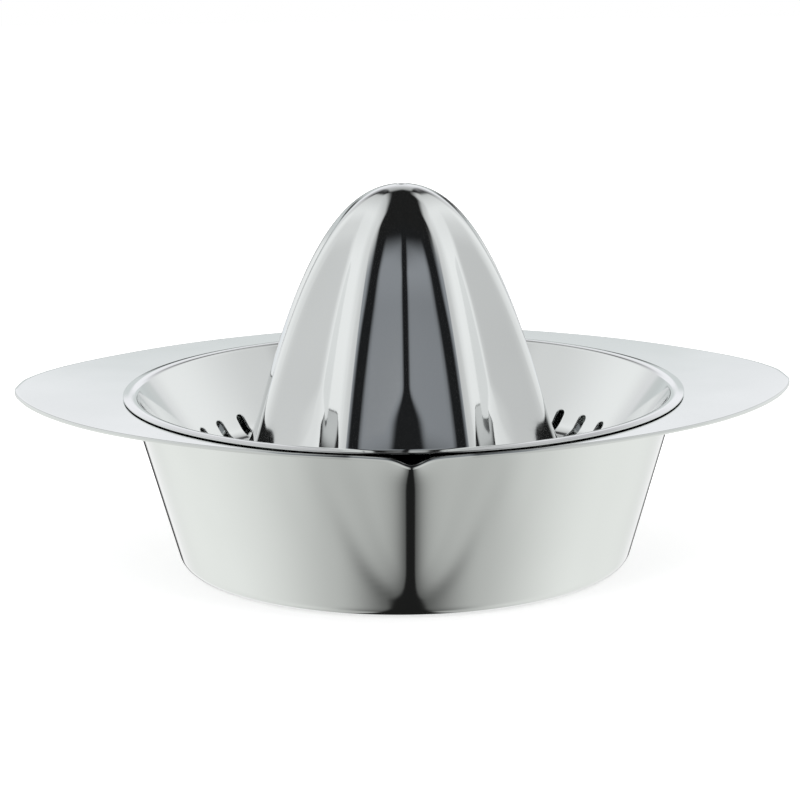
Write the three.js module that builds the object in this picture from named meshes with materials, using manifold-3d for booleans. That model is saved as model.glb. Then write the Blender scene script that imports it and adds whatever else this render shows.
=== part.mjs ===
// Two-piece hand citrus juicer in polished steel: a bowl with a pinched pouring spout and an
// almond-shaped flange, and a strainer insert with a fluted reamer cone that rests in its mouth.
// Millimetres and degrees. +Z is up, the spout points to -Y, the grips lie along X, and the
// origin is the centre of the bowl's underside.

import * as THREE from 'three';
import { mergeVertices } from 'three/addons/utils/BufferGeometryUtils.js';
import Module from 'manifold-3d';

const wasm = await Module();
wasm.setup();

// Bowl
const bowlHeight = 46.3;
const bowlSheet = 1.1;
const baseRadius = 60.9;
const mouthRadius = 74.1;
const baseCornerRadius = 4;
const underLipBendRadius = 0.8;

// Flange, an almond set back from the bowl's axis that narrows to a thin lip at the spout
const flangeHalfLength = 106;
const flangeHalfDepth = 84.5;
const flangeOffset = 7.3;
const lipBeyondRim = 0.35;
const outlineFullnessShare = 1.673;
const outlineRoundnessShare = 0.5675;
const wingRise = 1;

// Pouring spout, two flat facets that meet in a rounded edge and narrow down to a tip near the base
const spoutAngle = 18.5;
const spoutDepth = 41;
const spoutFullnessShare = 0.8;
const spoutRoundnessShare = 0.5;
const spoutEdgeRadius = 15;
const spoutLipRadius = 3;
const spoutBlend = 0.9;
const spoutHollow = 0.15;
const spoutHollowWidth = 3.5;
const lipDip = 1.6;
const lipDipHalfWidth = 3.5;
const lipDipReach = 10;

// Strainer dish whose slope turns over into a low domed rim
const dishSheet = 0.7;
const dishDepth = 21;
const dishSlope = 54;
const dishCornerRadius = 8;
const dishClearance = 0.4;
const seatWidth = 1.5;
const seatClearance = 0.3;
const rimHeight = 1;
const rimDomeAngle = 10;
const rimDomeRadius = 4;
const rimBendRadius = 1.5;
const rimEdgeRadius = 0.1;

// Strainer slots
const slotCount = 40;
const slotWidth = 2.7;
const slotInset = 1.4;
const slotRun = 4.4;

// Reamer cone
const coneSheet = 1;
const coneHeight = 77.6;
const footWidth = 7.2;
const footLand = 0.5;
const weldGap = 0.3;
const ridgeCount = 8;
const ridgeRadius = 5;
const ridgeToFoot = 2;
const fluteFlankAngle = 20;
const fluteTopHeight = 57;
const fluteFadeHeight = 18;
const fluteValleyRadius = 2.5;
const fluteFootRadius = 14;
const fluteFootTop = 29;
const fluteFootHeight = 11;
const fluteFlareHeight = 20;
const ridgeFlareHeight = 16;
const dimpleRadius = 1.6;
const dimpleDepth = 0.4;

// The ridge line is one curve from the crown to the foot, and these shares place its two handles
const crownHandleShare = 0.6228;
const shoulderRadiusShare = 0.8887;
const shoulderHeightShare = 0.1391;

// How finely the sheet is divided
const bowlColumns = 72;
const columnCrowdingShare = 0.75;
const wallRows = 8;
const cornerSteps = 3;
const bendSteps = 2;
const dishColumns = 80;
const slotEndSteps = 4;
const flangeRowShares = [0.07, 0.5, 0.8, 1];
const ridgeColumnShares = [0, 0.2, 0.45, 0.68, 0.86];
const coneRowShares = [
  0.05, 0.11, 0.18, 0.26, 0.35, 0.45, 0.55, 0.65, 0.74, 0.82, 0.88, 0.93, 0.965, 0.985, 1,
];
const coneInnerRowShares = [0.08, 0.2, 0.35, 0.5, 0.65, 0.78, 0.88, 0.95, 1];
const overrun = 2;
const outlineHalvings = 40;

// Worked out from the sizes above
const fullTurn = 2 * Math.PI;
const front = -Math.PI / 2;
const wallLean = Math.atan2(mouthRadius - baseRadius, bowlHeight);
const mouthInnerRadius = mouthRadius - bowlSheet / Math.cos(wallLean);
const lipBendRadius = underLipBendRadius + bowlSheet;
const lipBendReach = lipBendRadius * Math.tan((Math.PI / 2 - wallLean) / 2);
const seatInnerRadius = mouthInnerRadius + lipBendReach;
const rimOuterRadius = seatInnerRadius + seatWidth;
const lipRadius = rimOuterRadius + lipBeyondRim;
const slopeRise = Math.tan(radians(dishSlope));
const slopeOuterRadius = mouthInnerRadius - dishClearance;
const slopeInnerRadius = slopeOuterRadius - dishSheet / Math.sin(radians(dishSlope));
const dishFloorTop = bowlHeight - dishDepth;
const dishFloorRadius = slopeInnerRadius - dishDepth / slopeRise;
const coneFootRadius = dishFloorRadius - footWidth;
const ridgeFootRadius = coneFootRadius - footLand - ridgeToFoot;
const dishHoleRadius = coneFootRadius + weldGap;
const coneTop = dishFloorTop + coneHeight;

const ridgeLine = new THREE.CubicBezierCurve(
  new THREE.Vector2(0, coneHeight),
  new THREE.Vector2(crownHandleShare * ridgeFootRadius, coneHeight),
  new THREE.Vector2(shoulderRadiusShare * ridgeFootRadius, shoulderHeightShare * coneHeight),
  new THREE.Vector2(ridgeFootRadius, 0),
);

function radians(degrees) {
  return THREE.MathUtils.degToRad(degrees);
}

function polar(radius, around, height) {
  return new THREE.Vector3(radius * Math.cos(around), radius * Math.sin(around), height);
}

// A profile of corners, each with its own rounding
function roundedProfile(corners) {
  const points = [];
  corners.forEach((corner, index) => {
    const before = corners[index - 1];
    const after = corners[index + 1];
    if (before && after && corner.round) {
      points.push(...roundedCorner(before.at, corner, after.at));
    } else {
      points.push(corner.at.clone());
    }
  });
  return points;
}

function roundedCorner(before, corner, after) {
  const towardsBefore = before.clone().sub(corner.at).normalize();
  const towardsAfter = after.clone().sub(corner.at).normalize();
  const halfAngle = Math.acos(THREE.MathUtils.clamp(towardsBefore.dot(towardsAfter), -1, 1)) / 2;
  const reach = corner.round / Math.tan(halfAngle);
  const middle = towardsBefore.clone().add(towardsAfter).normalize();
  const centre = corner.at.clone().addScaledVector(middle, corner.round / Math.sin(halfAngle));
  const first = corner.at.clone().addScaledVector(towardsBefore, reach).sub(centre);
  const last = corner.at.clone().addScaledVector(towardsAfter, reach).sub(centre);
  const turn = Math.atan2(first.cross(last), first.dot(last));
  const points = [];
  for (let step = 0; step <= corner.steps; step++) {
    const spoke = first.clone().rotateAround(new THREE.Vector2(), turn * step / corner.steps);
    points.push(centre.clone().add(spoke));
  }
  return points;
}

function withRowsBetween(from, to, rows) {
  const points = [];
  for (let row = 1; row < rows; row++) {
    points.push(from.clone().lerp(to, row / rows));
  }
  return points;
}

// A closed skin through rings of equally many points, from a point on the axis to another one.
// The rings are counter-clockwise from above, and the path from ring to ring has the metal on its left.
function skin(startPole, rings, endPole) {
  const count = rings[0].length;
  const positions = [];
  const triangles = [];
  const place = (point) => positions.push(point.x, point.y, point.z);
  place(startPole);
  rings.forEach((ring) => ring.forEach(place));
  place(endPole);
  const last = 1 + rings.length * count;
  for (let column = 0; column < count; column++) {
    const next = (column + 1) % count;
    const lastRing = last - count;
    triangles.push(0, 1 + next, 1 + column);
    triangles.push(last, lastRing + column, lastRing + next);
    for (let row = 0; row < rings.length - 1; row++) {
      const here = 1 + row * count;
      const beyond = here + count;
      triangles.push(here + column, beyond + next, beyond + column);
      triangles.push(here + column, here + next, beyond + next);
    }
  }
  const geometry = new THREE.BufferGeometry();
  geometry.setAttribute('position', new THREE.Float32BufferAttribute(positions, 3));
  geometry.setIndex(triangles);
  geometry.computeVertexNormals();
  return geometry;
}

// Columns stand close together at the spout, the grips' points and the back
function bowlDirections() {
  const directions = [];
  for (let column = 0; column < bowlColumns; column++) {
    const even = fullTurn * column / bowlColumns;
    directions.push(front + even - columnCrowdingShare * Math.sin(4 * even) / 4);
  }
  return directions;
}

// 1 at the lip, and none from the lip's reach down
function lipNearness(depth) {
  return Math.pow(Math.max(0, 1 - depth / lipDipReach), 2);
}

// How far the pinched wall stands out, as a share of the round wall's radius. A facet touches the round
// wall at the lip and cuts it at a growing angle further down, with a faint hollow beside the cut.
function spoutStretch(around, depth) {
  const facetAngle = radians(spoutAngle);
  const fullness = Math.pow(Math.min(1, depth / spoutDepth), spoutFullnessShare);
  const narrowing = 1 - Math.pow(1 - fullness, spoutRoundnessShare);
  const edgeRadius = THREE.MathUtils.lerp(spoutEdgeRadius, spoutLipRadius, lipNearness(depth));
  const edgeAngle = edgeRadius * Math.tan(facetAngle) / mouthRadius;
  const fromFront = Math.abs(THREE.MathUtils.euclideanModulo(around - front + Math.PI, fullTurn) - Math.PI);
  const within = Math.max(-facetAngle, facetAngle - Math.hypot(fromFront, edgeAngle));
  const bulge = Math.sign(within) * (1 / Math.cos(within) - 1);
  const facet = Math.cos(facetAngle * narrowing) * (1 + bulge);
  const blend = spoutBlend / mouthRadius;
  const shared = Math.max(0, blend - Math.abs(facet - 1));
  const hollowAngle = spoutHollowWidth / mouthRadius;
  const fromHollow = (fromFront - facetAngle * (1 - narrowing)) / hollowAngle - 0.5;
  const hollow = 4 * narrowing * (1 - narrowing) * spoutHollow * Math.exp(-(fromHollow ** 2));
  return Math.max(1, facet) + shared ** 2 / (4 * blend) - hollow / mouthRadius;
}

// The spout's edge hangs below the lip, most at the lip itself
function spoutDip(point, depth) {
  if (point.y > 0) {
    return 0;
  }
  return lipDip * lipNearness(depth) * Math.exp(-Math.pow(point.x / lipDipHalfWidth, 2));
}

// Distance from the axis to the flange's cut edge. The almond lies behind the axis by its offset.
function flangeEdge(around) {
  let inside = 0;
  let outside = flangeHalfLength;
  for (let halving = 0; halving < outlineHalvings; halving++) {
    const radius = (inside + outside) / 2;
    const along = Math.abs(radius * Math.cos(around)) / flangeHalfLength;
    const across = Math.abs(radius * Math.sin(around) - flangeOffset) / flangeHalfDepth;
    const fullness = Math.pow(Math.min(1, along), outlineFullnessShare);
    if (across < Math.pow(1 - fullness, outlineRoundnessShare)) {
      inside = radius;
    } else {
      outside = radius;
    }
  }
  return Math.max(inside, lipRadius * spoutStretch(around, 0));
}

function wingLift(point) {
  const outward = (Math.abs(point.x) - lipRadius) / (flangeHalfLength - lipRadius);
  return wingRise * Math.pow(Math.max(0, outward), 2);
}

function wallPoint(profilePoint, around) {
  const depth = bowlHeight - profilePoint.y;
  const point = polar(profilePoint.x * spoutStretch(around, depth), around, profilePoint.y);
  point.z -= spoutDip(point, depth);
  return point;
}

function flangePoint(share, bendEnd, around, height) {
  const inner = bendEnd * spoutStretch(around, 0);
  const point = polar(THREE.MathUtils.lerp(inner, flangeEdge(around), share), around, height);
  point.z += wingLift(point) - spoutDip(point, 0);
  return point;
}

function makeBowl() {
  const wallSlope = Math.tan(wallLean);
  const underLip = bowlHeight - bowlSheet;
  const underLipRadius = mouthRadius - bowlSheet * wallSlope;
  const floorRadius = baseRadius - bowlSheet / Math.cos(wallLean) + bowlSheet * wallSlope;
  const floorCornerRadius = baseCornerRadius - bowlSheet;
  const outside = roundedProfile([
    { at: new THREE.Vector2(0, 0) },
    { at: new THREE.Vector2(baseRadius, 0), round: baseCornerRadius, steps: cornerSteps },
    { at: new THREE.Vector2(underLipRadius, underLip), round: underLipBendRadius, steps: bendSteps },
    { at: new THREE.Vector2(rimOuterRadius, underLip) },
  ]);
  const inside = roundedProfile([
    { at: new THREE.Vector2(rimOuterRadius, bowlHeight) },
    { at: new THREE.Vector2(mouthInnerRadius, bowlHeight), round: lipBendRadius, steps: cornerSteps },
    { at: new THREE.Vector2(floorRadius, bowlSheet), round: floorCornerRadius, steps: cornerSteps },
    { at: new THREE.Vector2(0, bowlSheet) },
  ]);
  const outsideFoot = outside.slice(1, 2 + cornerSteps);
  const outsideLip = outside.slice(2 + cornerSteps, -1);
  const insideLip = inside.slice(1, 2 + cornerSteps);
  const insideFoot = inside.slice(2 + cornerSteps, -1);
  const outsideWall = [
    ...outsideFoot,
    ...withRowsBetween(outsideFoot.at(-1), outsideLip[0], wallRows),
    ...outsideLip,
  ];
  const insideWall = [
    ...insideLip,
    ...withRowsBetween(insideLip.at(-1), insideFoot[0], wallRows),
    ...insideFoot,
  ];
  const directions = bowlDirections();
  const ringOf = (makePoint) => directions.map(makePoint);
  const rings = [
    ...outsideWall.map((at) => ringOf((around) => wallPoint(at, around))),
    ...flangeRowShares.map((share) => ringOf(
      (around) => flangePoint(share, outsideLip.at(-1).x, around, underLip))),
    ...flangeRowShares.toReversed().map((share) => ringOf(
      (around) => flangePoint(share, insideLip[0].x, around, bowlHeight))),
    ...insideWall.map((at) => ringOf((around) => wallPoint(at, around))),
  ];
  return skin(new THREE.Vector3(), rings, new THREE.Vector3(0, 0, bowlSheet));
}

function toSolid(geometry) {
  const plain = geometry.clone();
  plain.deleteAttribute('normal');
  plain.deleteAttribute('uv');
  const welded = mergeVertices(plain);
  return new wasm.Manifold(new wasm.Mesh({
    numProp: 3,
    vertProperties: new Float32Array(welded.attributes.position.array),
    triVerts: new Uint32Array(welded.index.array),
  }));
}

function toGeometry(solid) {
  const mesh = solid.getMesh();
  const geometry = new THREE.BufferGeometry();
  geometry.setAttribute('position', new THREE.BufferAttribute(mesh.vertProperties, 3));
  geometry.setIndex(new THREE.BufferAttribute(mesh.triVerts, 1));
  geometry.computeVertexNormals();
  return geometry;
}

// The dish's section, from the floor's underside out to the rim and back along the top
function dishProfile() {
  const floorUnderside = dishFloorTop - dishSheet;
  const slopeFoot = slopeOuterRadius - (bowlHeight - floorUnderside) / slopeRise;
  const underCornerRadius = dishCornerRadius + dishSheet;
  const rimUnderside = bowlHeight + seatClearance;
  const underBend = new THREE.Vector2(slopeOuterRadius + seatClearance / slopeRise, rimUnderside);
  const rimHalfWidth = (rimOuterRadius - slopeInnerRadius) / 2;
  const domeRise = Math.tan(radians(rimDomeAngle));
  const crown = new THREE.Vector2(rimOuterRadius - rimHalfWidth, bowlHeight + rimHeight);
  const edgeTop = crown.y - rimHalfWidth * domeRise;
  const bendHeight = (rimHeight - rimHalfWidth * domeRise) / (1 - domeRise / slopeRise);
  const bend = new THREE.Vector2(slopeInnerRadius + bendHeight / slopeRise, bowlHeight + bendHeight);
  return roundedProfile([
    { at: new THREE.Vector2(dishHoleRadius, floorUnderside) },
    { at: new THREE.Vector2(slopeFoot, floorUnderside), round: underCornerRadius, steps: cornerSteps },
    { at: underBend, round: rimBendRadius - dishSheet, steps: bendSteps },
    { at: new THREE.Vector2(rimOuterRadius, rimUnderside), round: rimEdgeRadius, steps: bendSteps },
    { at: new THREE.Vector2(rimOuterRadius, edgeTop), round: rimEdgeRadius, steps: bendSteps },
    { at: crown, round: rimDomeRadius, steps: bendSteps },
    { at: bend, round: rimBendRadius, steps: cornerSteps },
    { at: new THREE.Vector2(dishFloorRadius, dishFloorTop), round: dishCornerRadius, steps: cornerSteps },
    { at: new THREE.Vector2(dishHoleRadius, dishFloorTop) },
    { at: new THREE.Vector2(dishHoleRadius, floorUnderside) },
  ]);
}

// One slot's cutter, a bar with round ends that lies along X
function slotCutter() {
  const inner = dishHoleRadius + slotInset;
  const outer = dishFloorRadius + slotRun;
  const endRadius = slotWidth / 2;
  const bottom = dishFloorTop - dishSheet - overrun;
  const outline = new THREE.Shape();
  outline.absarc(outer - endRadius, 0, endRadius, front, -front, false);
  outline.absarc(inner + endRadius, 0, endRadius, -front, front + fullTurn, false);
  const bar = new THREE.ExtrudeGeometry(outline, {
    depth: bowlHeight - bottom,
    bevelEnabled: false,
    curveSegments: slotEndSteps,
  });
  return bar.translate(0, 0, bottom);
}

function makeDish() {
  const lathed = new THREE.LatheGeometry(dishProfile(), dishColumns).rotateX(-front);
  let dish = toSolid(lathed);
  const cutter = slotCutter();
  for (let slot = 0; slot < slotCount; slot++) {
    const turned = cutter.clone().rotateZ(fullTurn * (slot + 0.5) / slotCount);
    dish = dish.subtract(toSolid(turned));
  }
  return toGeometry(dish);
}

// Radius of the fluted section. A rounded ridge, a flat flank and a rounded valley follow each other,
// and fromValley is the angle from the middle of the flute.
function flutedRadius(fromValley, crestRadius, height) {
  const halfPitch = Math.PI / ridgeCount;
  const round = Math.min(ridgeRadius, crestRadius);
  const ridgeCentre = crestRadius - round;
  const topFade = THREE.MathUtils.smoothstep(height, fluteTopHeight, fluteTopHeight + fluteFadeHeight);
  const flank = radians(fluteFlankAngle) * (1 - topFade);
  const footFade = THREE.MathUtils.smoothstep(height, fluteFootTop - fluteFootHeight, fluteFootTop);
  const valleyRound = THREE.MathUtils.lerp(fluteFootRadius, fluteValleyRadius, footFade);
  const flankDistance = ridgeCentre * Math.cos(halfPitch + flank) + round;
  const valleyCentre = (flankDistance + valleyRound) / Math.cos(flank);
  const valleyEnd = Math.atan2(valleyRound * Math.sin(flank), valleyCentre - valleyRound * Math.cos(flank));
  const ridgeStart = Math.atan2(
    ridgeCentre * Math.sin(halfPitch) - round * Math.sin(flank),
    ridgeCentre * Math.cos(halfPitch) + round * Math.cos(flank),
  );
  if (fromValley < valleyEnd) {
    const sideways = valleyCentre * Math.sin(fromValley);
    return valleyCentre * Math.cos(fromValley) - Math.sqrt(valleyRound ** 2 - sideways ** 2);
  }
  if (fromValley < ridgeStart) {
    return flankDistance / Math.cos(fromValley + flank);
  }
  const fromRidge = halfPitch - fromValley;
  const sideways = ridgeCentre * Math.sin(fromRidge);
  return ridgeCentre * Math.cos(fromRidge) + Math.sqrt(round ** 2 - sideways ** 2);
}

// The cone's outer face, from the crown at share 0 to the foot at share 1
function conePoint(share, around) {
  const pitch = fullTurn / ridgeCount;
  const phase = THREE.MathUtils.euclideanModulo(around - front, pitch);
  const fromValley = Math.min(phase, pitch - phase);
  const onRidge = ridgeLine.getPoint(share);
  const atFoot = flutedRadius(fromValley, ridgeFootRadius, 0);
  const flareHeight = THREE.MathUtils.lerp(fluteFlareHeight, ridgeFlareHeight, fromValley / (pitch / 2));
  const below = Math.max(0, 1 - onRidge.y / flareHeight);
  const flare = (coneFootRadius - footLand - atFoot) * (1 - Math.sqrt(1 - below ** 2));
  const radius = flutedRadius(fromValley, onRidge.x, onRidge.y) + flare;
  return polar(radius, around, dishFloorTop + onRidge.y);
}

// The cone's inner face lies one sheet below the outer one, square to it
function coneInnerPoint(share, around) {
  const nudge = 1e-4;
  const point = conePoint(share, around);
  const alongRing = conePoint(share, around + nudge).sub(conePoint(share, around - nudge));
  const downRow = conePoint(Math.min(1, share + nudge), around).sub(conePoint(share - nudge, around));
  const outward = downRow.cross(alongRing).normalize();
  return point.addScaledVector(outward, -coneSheet);
}

function coneDirections() {
  const halfPitch = Math.PI / ridgeCount;
  const upFlank = ridgeColumnShares.map((share) => share * halfPitch);
  const downFlank = ridgeColumnShares.map((share) => 2 * halfPitch - share * halfPitch);
  const oneFlute = [...upFlank, halfPitch, ...downFlank.toReversed().slice(0, -1)];
  const directions = [];
  for (let ridge = 0; ridge < ridgeCount; ridge++) {
    oneFlute.forEach((angle) => directions.push(front + 2 * halfPitch * ridge + angle));
  }
  return directions;
}

function makeCone() {
  const directions = coneDirections();
  const footUnderside = dishFloorTop - coneSheet;
  const rings = [
    ...coneInnerRowShares.map((share) => directions.map((around) => coneInnerPoint(share, around))),
    directions.map((around) => polar(coneFootRadius, around, footUnderside)),
    directions.map((around) => polar(coneFootRadius, around, dishFloorTop)),
    ...coneRowShares.toReversed().map((share) => directions.map((around) => conePoint(share, around))),
    directions.map((around) => polar(dimpleRadius, around, coneTop)),
  ];
  const innerPole = new THREE.Vector3(0, 0, coneTop - dimpleDepth - coneSheet);
  const outerPole = new THREE.Vector3(0, 0, coneTop - dimpleDepth);
  return skin(innerPole, rings, outerPole);
}

function steel(color, roughness) {
  return new THREE.MeshStandardMaterial({ color, roughness, metalness: 1 });
}

function piece(name, geometry, material) {
  const mesh = new THREE.Mesh(geometry, material);
  mesh.name = name;
  return mesh;
}

const insert = new THREE.Group();
insert.add(piece('strainer_dish', makeDish(), steel(0xe2e5e6, 0.08)));
insert.add(piece('reamer_cone', makeCone(), steel(0xe4e7e9, 0.06)));

const juicer = new THREE.Group();
juicer.add(piece('juice_bowl', makeBowl(), steel(0xdfe3e4, 0.08)));
juicer.add(insert);

export default juicer;
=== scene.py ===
"""Looks of a two-piece hand citrus juicer in polished steel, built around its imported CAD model.

The bowl with its pinched spout and almond flange, the slotted strainer dish and the fluted reamer
cone are each drawn again as a fine smooth sheet of the CAD node's own sizes, and take a
mirror-polished finish. Sizes are in millimetres and angles in degrees until a mesh is made. +Z is
up, the spout points to -Y, and the origin is the centre of the bowl's underside.
"""

import logging
import math
from dataclasses import dataclass, field
from enum import Enum

import bmesh
import bpy
import numpy as np
from mathutils import Matrix, Vector


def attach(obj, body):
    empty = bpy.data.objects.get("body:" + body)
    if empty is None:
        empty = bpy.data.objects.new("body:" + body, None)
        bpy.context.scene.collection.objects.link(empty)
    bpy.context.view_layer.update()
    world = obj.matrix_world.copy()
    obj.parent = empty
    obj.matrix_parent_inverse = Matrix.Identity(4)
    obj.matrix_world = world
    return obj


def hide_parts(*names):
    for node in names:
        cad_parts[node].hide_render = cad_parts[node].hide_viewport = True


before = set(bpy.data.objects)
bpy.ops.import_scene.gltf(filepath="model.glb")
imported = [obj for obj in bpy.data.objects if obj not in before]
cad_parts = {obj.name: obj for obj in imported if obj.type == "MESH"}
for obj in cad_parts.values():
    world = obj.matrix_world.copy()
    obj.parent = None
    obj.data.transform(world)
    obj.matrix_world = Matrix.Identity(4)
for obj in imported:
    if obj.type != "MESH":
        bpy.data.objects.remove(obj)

LOG = logging.getLogger("juicer")
MM = 0.001
FULL_TURN = 2 * math.pi
FRONT = -math.pi / 2
WHITE = (1.0, 1.0, 1.0, 1.0)
# Steps of the search for the flange's cut edge.
HALVINGS = 40
# Heights nearer to each other than this count as level.
LEVEL_GAP = 1e-6
# A straight run shorter than so many margins isn't divided.
SHORT_RUN_MARGINS = 2.5


class Winding(Enum):
    """Which way round the faces of a fan are wound."""

    FORWARD = 1
    REVERSED = -1


class Level(Enum):
    """Operations of a Math node that the finishes and the studio use."""

    ADD = "ADD"
    SUBTRACT = "SUBTRACT"
    MULTIPLY = "MULTIPLY"
    ANGLE = "ARCTAN2"
    SIZE = "ABSOLUTE"
    ARCSINE = "ARCSINE"
    ARCCOSINE = "ARCCOSINE"


@dataclass(frozen=True)
class Corner:
    """A corner of a sheet's section.

    Attributes:
        radius: distance from the axis.
        height: height above the underside.
        bend: rounding radius of the corner, zero for a sharp one.
        steps: number of stretches that the rounding is divided into.
    """

    radius: float
    height: float
    bend: float = 0.0
    steps: int = 8


def bent(before: np.ndarray, corner: Corner, after: np.ndarray) -> list[np.ndarray]:
    """Rounds one corner of a section.

    Args:
        before: the point before the corner.
        corner: the corner.
        after: the point after the corner.

    Returns:
        The points of the rounding, in order.
    """
    at = np.array([corner.radius, corner.height])
    back = (before - at) / np.linalg.norm(before - at)
    ahead = (after - at) / np.linalg.norm(after - at)
    half = math.acos(float(np.clip(back @ ahead, -1, 1))) / 2
    middle = (back + ahead) / np.linalg.norm(back + ahead)
    centre = at + middle * corner.bend / math.sin(half)
    first = at + back * corner.bend / math.tan(half) - centre
    last = at + ahead * corner.bend / math.tan(half) - centre
    turn = math.atan2(first[0] * last[1] - first[1] * last[0], float(first @ last))
    points = []
    for step in range(corner.steps + 1):
        angle = turn * step / corner.steps
        spin = np.array([[math.cos(angle), -math.sin(angle)], [math.sin(angle), math.cos(angle)]])
        points.append(centre + spin @ first)
    return points


def section(corners: list[Corner], longest: float, margin: float = 0.5) -> np.ndarray:
    """Draws a section with rounded corners and fine straight runs.

    Args:
        corners: the corners in order, the first and last of them sharp ends.
        longest: longest stretch allowed on a straight run.
        margin: length of the short stretch beside each rounding, which keeps the run there flat.

    Returns:
        The section's points, one row of radius and height each.
    """
    bare = [np.array([c.radius, c.height]) for c in corners]
    groups = []
    for index, corner in enumerate(corners):
        inner = 0 < index < len(corners) - 1 and corner.bend > 0
        groups.append(bent(bare[index - 1], corner, bare[index + 1]) if inner else [bare[index]])
    points = list(groups[0])
    for group in groups[1:]:
        points.extend(run(points[-1], group[0], longest, margin))
        points.extend(group)
    return np.array(points)


def run(start: np.ndarray, end: np.ndarray, longest: float, margin: float) -> list[np.ndarray]:
    """Divides a straight run.

    Args:
        start: the run's first point, which isn't repeated.
        end: the run's last point, which isn't repeated.
        longest: longest stretch allowed.
        margin: length of the first and last stretch.

    Returns:
        The points between the ends.
    """
    length = float(np.linalg.norm(end - start))
    if length < SHORT_RUN_MARGINS * margin:
        return []
    count = max(1, math.ceil((length - 2 * margin) / longest))
    inner = np.linspace(margin, length - margin, count + 1)
    return [start + (end - start) * distance / length for distance in inner]


class SheetMesh:
    """Gathers the rings and faces of one closed sheet, then makes its object."""

    def __init__(self) -> None:
        """Starts with no points and no faces."""
        self.points: list[np.ndarray] = []
        self.faces: list[tuple[int, ...]] = []
        self.size = 0

    def place(self, points: np.ndarray) -> int:
        """Adds points.

        Args:
            points: one row for each point.

        Returns:
            The number of the first point.
        """
        first = self.size
        self.points.append(np.asarray(points, dtype=float).reshape(-1, 3))
        self.size += len(self.points[-1])
        return first

    def loft(self, rings: np.ndarray) -> tuple[int, int]:
        """Joins closed rings of equally many points with four-sided faces.

        Args:
            rings: the rings' points, indexed by ring, point and axis.

        Returns:
            The numbers of the first point of the first and of the last ring.
        """
        rows, count = rings.shape[:2]
        first = self.place(rings)
        for row in range(rows - 1):
            here = first + row * count
            next_row = here + count
            for column in range(count):
                beside = (column + 1) % count
                quad = (here + column, here + beside, next_row + beside, next_row + column)
                self.faces.append(quad)
        return first, first + (rows - 1) * count

    def cap(self, height: float, ring: int, count: int, way: Winding) -> None:
        """Closes a ring with a fan from a point on the axis.

        Args:
            height: the point's height.
            ring: number of the ring's first point.
            count: number of points in the ring.
            way: which way round the faces are wound.
        """
        tip = self.place(np.array([[0, 0, height]]))
        for column in range(count):
            beside = (column + 1) % count
            self.faces.append((tip, ring + column, ring + beside)[:: way.value])

    def make(self, name: str, weld: float = 0.0) -> bpy.types.Object:
        """Makes the object, smooth all over.

        Args:
            name: the object's name.
            weld: distance below which points become one, zero for none.

        Returns:
            The object, linked into the scene.
        """
        data = bpy.data.meshes.new(name)
        data.from_pydata((np.concatenate(self.points) * MM).tolist(), [], self.faces)
        data.validate()
        data.update()
        if weld:
            weld_points(data, weld * MM)
        data.shade_smooth()
        piece = bpy.data.objects.new(name, data)
        bpy.context.scene.collection.objects.link(piece)
        return piece


def weld_points(data: bpy.types.Mesh, distance: float) -> None:
    """Joins a mesh's points that lie on each other.

    Args:
        data: the mesh.
        distance: distance below which points become one, in metres.
    """
    work = bmesh.new()
    work.from_mesh(data)
    bmesh.ops.remove_doubles(work, verts=work.verts, dist=distance)
    bmesh.ops.recalc_face_normals(work, faces=work.faces)
    work.to_mesh(data)
    work.free()


def around(radius: np.ndarray, angle: np.ndarray, height: np.ndarray) -> np.ndarray:
    """Turns distances from the axis, angles and heights into points."""
    rightward, backward = radius * np.cos(angle), radius * np.sin(angle)
    return np.stack(np.broadcast_arrays(rightward, backward, height), axis=-1)


def smooth(share: np.ndarray) -> np.ndarray:
    """Eases a share from 0 to 1 with level ends."""
    held = np.clip(share, 0, 1)
    return held * held * (3 - 2 * held)


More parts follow.
